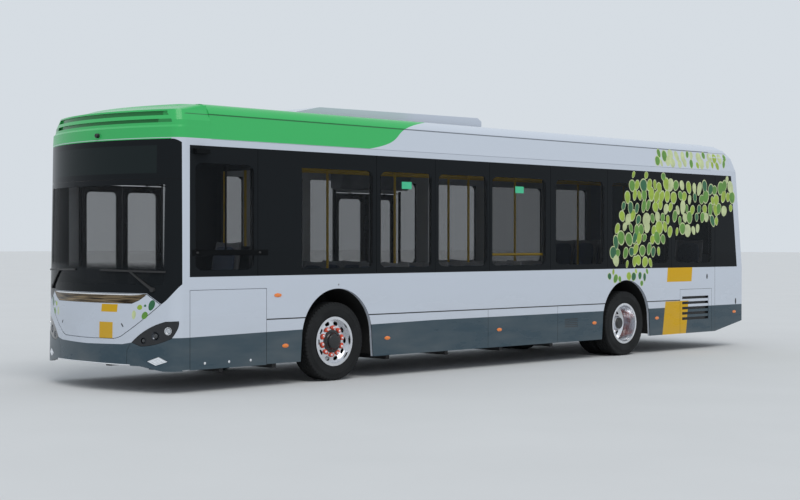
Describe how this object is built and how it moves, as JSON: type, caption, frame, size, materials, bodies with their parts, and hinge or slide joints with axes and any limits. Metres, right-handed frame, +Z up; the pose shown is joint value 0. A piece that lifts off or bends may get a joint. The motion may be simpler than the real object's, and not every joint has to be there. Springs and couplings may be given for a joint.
{
  "type": "low-entry electric city bus",
  "caption": "Low-entry electric city bus with steered front wheels, twin rear wheels, inward-gliding double doors, folding service flaps and a roof well with batteries.",
  "frame": {"origin": "on the ground, under the middle of the body box", "axes": "+Z up, the nose points to -Y, +X is the side without doors (the driver sits there)"},
  "size_m": [2.69, 11.9988, 3.4239],
  "materials": {
    "body_paint": "gloss",
    "skirt_paint": "gloss",
    "black_paint": "gloss",
    "glass": "tinted",
    "lamp_glass": "clear coat over reflectors",
    "amber_plastic": "moulded lens",
    "black_plastic": "grained",
    "grey_plastic": "grained",
    "underframe": "matt chassis paint",
    "cast_iron": "as cast, painted",
    "aluminium": "polished forged",
    "tyre": "rubber",
    "seat_fabric": "moquette",
    "yellow_paint": "powder coat"
  },
  "bodies": {
    "root": {"battery_packs": "body_paint", "cab_partition": "black_plastic", "ceiling_rails": "yellow_paint", "chassis_frame": "underframe", "cooling_unit": "body_paint", "dashboard": "black_plastic", "door_drives": "grey_plastic", "driver_platform": "grey_plastic", "front_axle": "cast_iron", "front_bumper": "skirt_paint", "front_frame": "body_paint", "front_glass": "glass", "grab_poles": "yellow_paint", "head_lamps": "lamp_glass", "low_floor": "grey_plastic", "mirror_cameras": "black_plastic", "power_unit": "underframe", "rear_axle": "cast_iron", "rear_podium": "grey_plastic", "roof_caps": "body_paint", "roof_deck": "body_paint", "roof_fairings": "body_paint", "seat_stands": "underframe", "seats": "seat_fabric", "side_wall_left": "body_paint", "side_wall_right": "body_paint", "signal_lamps": "amber_plastic", "tail_wall": "body_paint", "wheel_housings": "black_plastic", "window_panes": "glass", "wipers": "black_plastic"},
    "front_flap": {"front_flap": "body_paint"},
    "service_flap": {"service_flap": "body_paint"},
    "tail_lid": {"tail_lid": "skirt_paint"},
    "door_arm_front_fore": {"door_arm_front_fore": "underframe"},
    "door_leaf_front_fore": {"door_leaf_front_fore": "black_paint", "door_glass_front_fore": "glass"},
    "door_arm_front_aft": {"door_arm_front_aft": "underframe"},
    "door_leaf_front_aft": {"door_leaf_front_aft": "black_paint", "door_glass_front_aft": "glass"},
    "door_arm_middle_fore": {"door_arm_middle_fore": "underframe"},
    "door_leaf_middle_fore": {"door_leaf_middle_fore": "black_paint", "door_glass_middle_fore": "glass"},
    "door_arm_middle_aft": {"door_arm_middle_aft": "underframe"},
    "door_leaf_middle_aft": {"door_leaf_middle_aft": "black_paint", "door_glass_middle_aft": "glass"},
    "knuckle_left": {"knuckle_left": "cast_iron"},
    "front_wheel_left": {"front_tyre_left": "tyre", "front_rim_left": "aluminium"},
    "rear_wheel_left": {"rear_tyres_left": "tyre", "rear_rims_left": "aluminium"},
    "knuckle_right": {"knuckle_right": "cast_iron"},
    "front_wheel_right": {"front_tyre_right": "tyre", "front_rim_right": "aluminium"},
    "rear_wheel_right": {"rear_tyres_right": "tyre", "rear_rims_right": "aluminium"}
  },
  "joints": [
    {"name": "front_door_fore_swing", "type": "hinge", "parent": "root", "child": "door_arm_front_fore", "pos_m": [-1.185, -5.285, 1.4], "axis": [0, 0, -1], "range_deg": [0, 68.75]},
    {"name": "front_door_fore_turn", "type": "hinge", "parent": "door_arm_front_fore", "child": "door_leaf_front_fore", "pos_m": [-1.195, -4.9741, 1.4], "axis": [0, 0, -1], "range_deg": [-158.8, 0]},
    {"name": "front_door_aft_swing", "type": "hinge", "parent": "root", "child": "door_arm_front_aft", "pos_m": [-1.185, -3.955, 1.4], "axis": [0, 0, 1], "range_deg": [0, 68.75]},
    {"name": "front_door_aft_turn", "type": "hinge", "parent": "door_arm_front_aft", "child": "door_leaf_front_aft", "pos_m": [-1.195, -4.2659, 1.4], "axis": [0, 0, 1], "range_deg": [-158.8, 0]},
    {"name": "middle_door_fore_swing", "type": "hinge", "parent": "root", "child": "door_arm_middle_fore", "pos_m": [-1.185, -0.965, 1.4], "axis": [0, 0, -1], "range_deg": [0, 68.75]},
    {"name": "middle_door_fore_turn", "type": "hinge", "parent": "door_arm_middle_fore", "child": "door_leaf_middle_fore", "pos_m": [-1.195, -0.6541, 1.4], "axis": [0, 0, -1], "range_deg": [-158.8, 0]},
    {"name": "middle_door_aft_swing", "type": "hinge", "parent": "root", "child": "door_arm_middle_aft", "pos_m": [-1.185, 0.365, 1.4], "axis": [0, 0, 1], "range_deg": [0, 68.75]},
    {"name": "middle_door_aft_turn", "type": "hinge", "parent": "door_arm_middle_aft", "child": "door_leaf_middle_aft", "pos_m": [-1.195, 0.0541, 1.4], "axis": [0, 0, 1], "range_deg": [-158.8, 0]},
    {"name": "front_flap_fold", "type": "hinge", "parent": "root", "child": "front_flap", "pos_m": [0, -5.997, 0.598], "axis": [1, 0, 0], "range_deg": [0, 75]},
    {"name": "service_flap_lift", "type": "hinge", "parent": "root", "child": "service_flap", "pos_m": [1.272, -4.925, 1.156], "axis": [0, -1, 0], "range_deg": [0, 85]},
    {"name": "tail_lid_lift", "type": "hinge", "parent": "root", "child": "tail_lid", "pos_m": [0, 6.003, 1.236], "axis": [1, 0, 0], "range_deg": [0, 80]},
    {"name": "steer_left", "type": "hinge", "parent": "root", "child": "knuckle_left", "pos_m": [0.98, -3.22, 0.482], "axis": [0, 0, 1], "range_deg": [-42, 42]},
    {"name": "front_wheel_left_spin", "type": "hinge", "parent": "knuckle_left", "child": "front_wheel_left", "pos_m": [1.09, -3.22, 0.482], "axis": [1, 0, 0], "continuous": true},
    {"name": "rear_wheel_left_spin", "type": "hinge", "parent": "root", "child": "rear_wheel_left", "pos_m": [0.9525, 2.73, 0.482], "axis": [1, 0, 0], "continuous": true},
    {"name": "steer_right", "type": "hinge", "parent": "root", "child": "knuckle_right", "pos_m": [-0.98, -3.22, 0.482], "axis": [0, 0, 1], "range_deg": [-42, 42]},
    {"name": "front_wheel_right_spin", "type": "hinge", "parent": "knuckle_right", "child": "front_wheel_right", "pos_m": [-1.09, -3.22, 0.482], "axis": [1, 0, 0], "continuous": true},
    {"name": "rear_wheel_right_spin", "type": "hinge", "parent": "root", "child": "rear_wheel_right", "pos_m": [-0.9525, 2.73, 0.482], "axis": [1, 0, 0], "continuous": true}
  ],
  "couplings": [
    {"joint": "front_door_fore_turn", "follows": "front_door_fore_swing", "ratio": -2.3091},
    {"joint": "front_door_aft_turn", "follows": "front_door_aft_swing", "ratio": -2.3091},
    {"joint": "middle_door_fore_turn", "follows": "middle_door_fore_swing", "ratio": -2.3091},
    {"joint": "middle_door_aft_turn", "follows": "middle_door_aft_swing", "ratio": -2.3091},
    {"joint": "steer_right", "follows": "steer_left", "ratio": 1}
  ]
}
